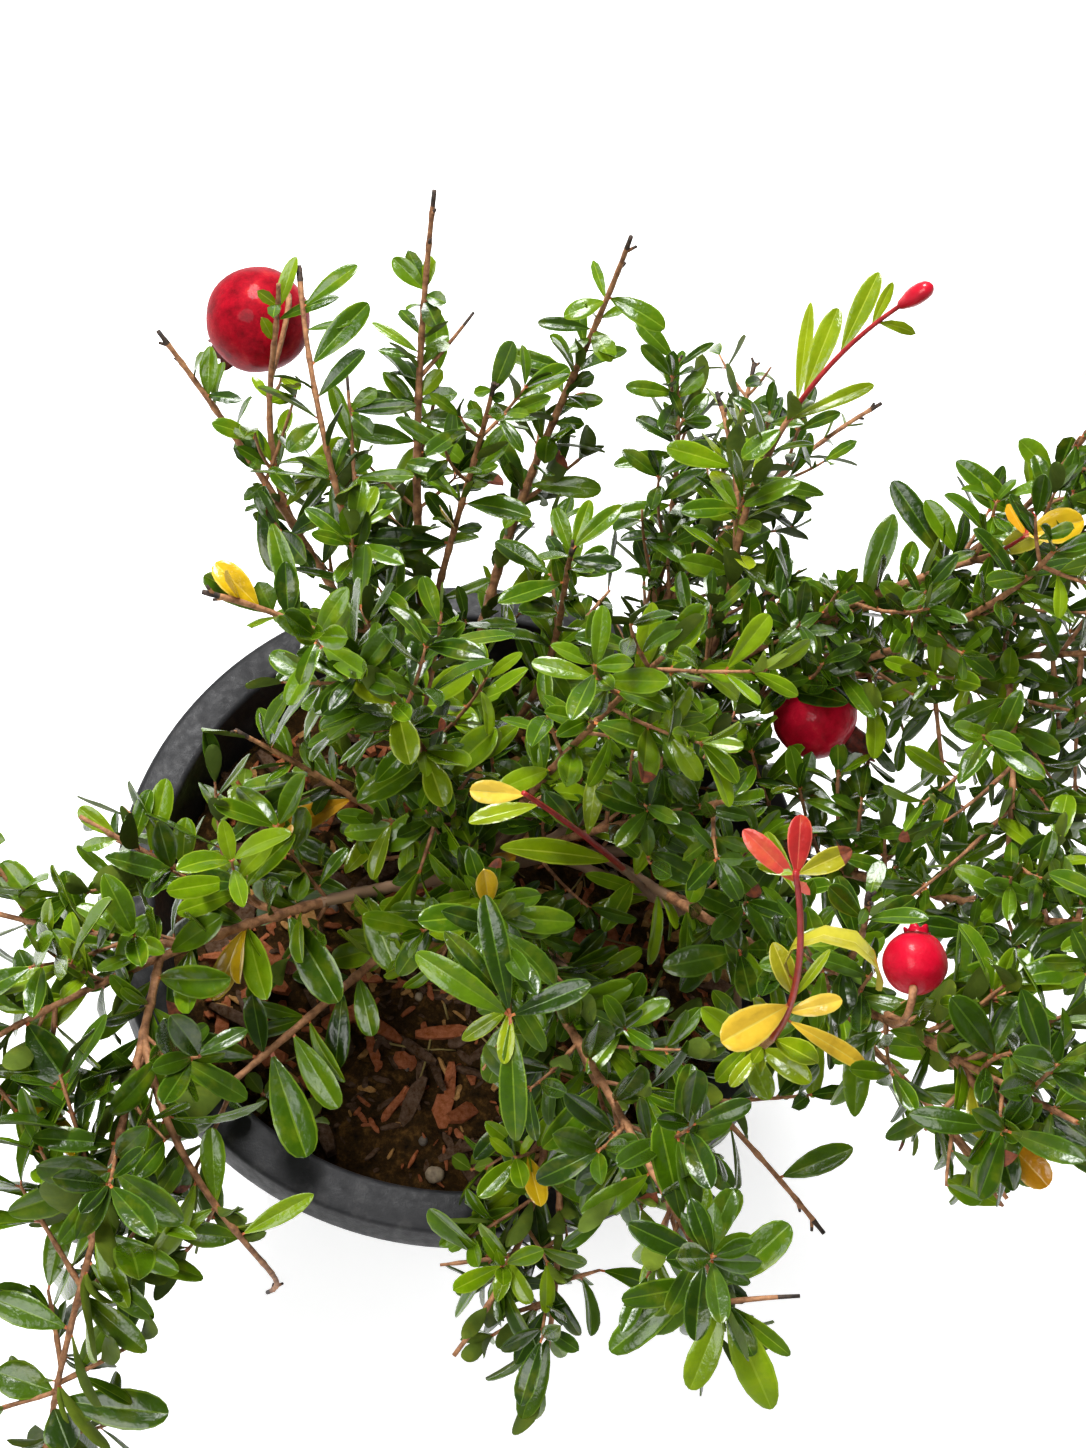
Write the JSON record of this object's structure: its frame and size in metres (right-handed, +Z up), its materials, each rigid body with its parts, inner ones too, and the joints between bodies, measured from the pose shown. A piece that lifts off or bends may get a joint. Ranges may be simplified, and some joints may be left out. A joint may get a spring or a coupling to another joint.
{
  "type": "potted pomegranate shrub",
  "caption": "Small bushy shrub with narrow glossy leaves and round red fruits, growing from a short woody stem in a round dark pot of soil.",
  "frame": {"origin": "centre of the pot's flat underside, on the surface that it stands on", "axes": "+Z up; +Y towards the plant's back, +X to its right, seen from the front"},
  "size_m": [0.4505, 0.4855, 0.4289],
  "materials": {
    "pot": "smooth satin black moulded plastic",
    "soil": "moist dark potting soil with bark chips",
    "bark": "thin brown bark, ridged on the oldest wood",
    "foliage": "glossy green leaves with a paler midrib and underside",
    "young_foliage": "yellow-green young leaves on red stems"
  },
  "bodies": {
    "root": {"pot": "pot", "soil": "soil", "trunk": "bark", "bough_back": "bark", "bough_centre": "bark", "bough_centre_left": "bark", "bough_centre_right": "bark", "bough_coral": "bark", "bough_east": "bark", "bough_east_high": "bark", "bough_east_middle": "bark", "bough_inner_west": "bark", "bough_north": "bark", "bough_north_mid": "bark", "bough_north_tall": "bark", "bough_northeast": "bark", "bough_northwest": "bark", "bough_red_stem": "bark", "bough_south": "bark", "bough_south_near": "bark", "bough_south_twig": "bark", "bough_south_up": "bark", "bough_southeast": "bark", "bough_southeast_low": "bark", "bough_southeast_near": "bark", "bough_southwest": "bark", "bough_upper_west": "bark", "bough_west": "bark", "foliage_back": "foliage", "foliage_centre": "foliage", "foliage_centre_left": "foliage", "foliage_centre_right": "foliage", "foliage_coral": "young_foliage", "foliage_east": "foliage", "foliage_east_high": "foliage", "foliage_east_middle": "foliage", "foliage_inner_west": "foliage", "foliage_north": "foliage", "foliage_north_mid": "foliage", "foliage_north_tall": "foliage", "foliage_northeast": "foliage", "foliage_northwest": "foliage", "foliage_red_stem": "young_foliage", "foliage_south": "foliage", "foliage_south_near": "foliage", "foliage_south_twig": "foliage", "foliage_south_up": "foliage", "foliage_southeast": "foliage", "foliage_southeast_low": "foliage", "foliage_southeast_near": "foliage", "foliage_southwest": "foliage", "foliage_upper_west": "foliage", "foliage_west": "foliage"}
  },
  "joints": []
}
